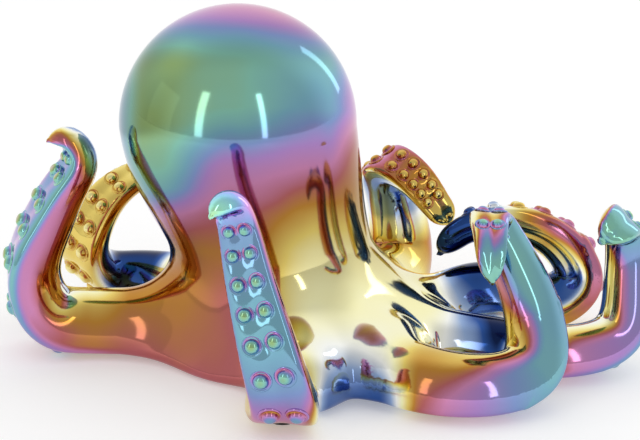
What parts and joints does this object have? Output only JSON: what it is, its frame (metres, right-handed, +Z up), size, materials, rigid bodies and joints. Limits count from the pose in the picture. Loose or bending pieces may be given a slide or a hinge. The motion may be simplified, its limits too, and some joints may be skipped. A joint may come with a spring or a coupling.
{
  "type": "octopus figurine",
  "caption": "Table-top octopus figurine in glazed ceramic with an iridescent mirror finish: a leaning bulb-shaped mantle on curling suckered arms, hollow, resting on felt pads.",
  "frame": {"origin": "centre of the figurine's outline on the table, at the underside of the felt pads", "axes": "+Z up, -Y towards the viewer of the picture, +X to the viewer's right"},
  "size_m": [0.3985, 0.3262, 0.215],
  "materials": {
    "mantle_glaze": "iridescent mirror lustre over glaze, teal to violet to gold",
    "arm_glaze": "iridescent mirror lustre over glaze, gold to pink to teal",
    "sucker_glaze": "iridescent mirror lustre over glaze, pink and gold",
    "felt": "pressed dark felt"
  },
  "bodies": {
    "root": {"mantle": "mantle_glaze", "front_arm": "arm_glaze", "left_arm": "arm_glaze", "rear_left_arm": "arm_glaze", "rear_arm": "arm_glaze", "rear_right_arm": "arm_glaze", "scroll_arm": "arm_glaze", "right_arm": "arm_glaze", "front_right_arm": "arm_glaze", "front_suckers": "sucker_glaze", "left_suckers": "sucker_glaze", "rear_left_suckers": "sucker_glaze", "rear_suckers": "sucker_glaze", "rear_right_suckers": "sucker_glaze", "scroll_suckers": "sucker_glaze", "right_suckers": "sucker_glaze", "front_right_suckers": "sucker_glaze", "felt_pads": "felt"}
  },
  "joints": []
}
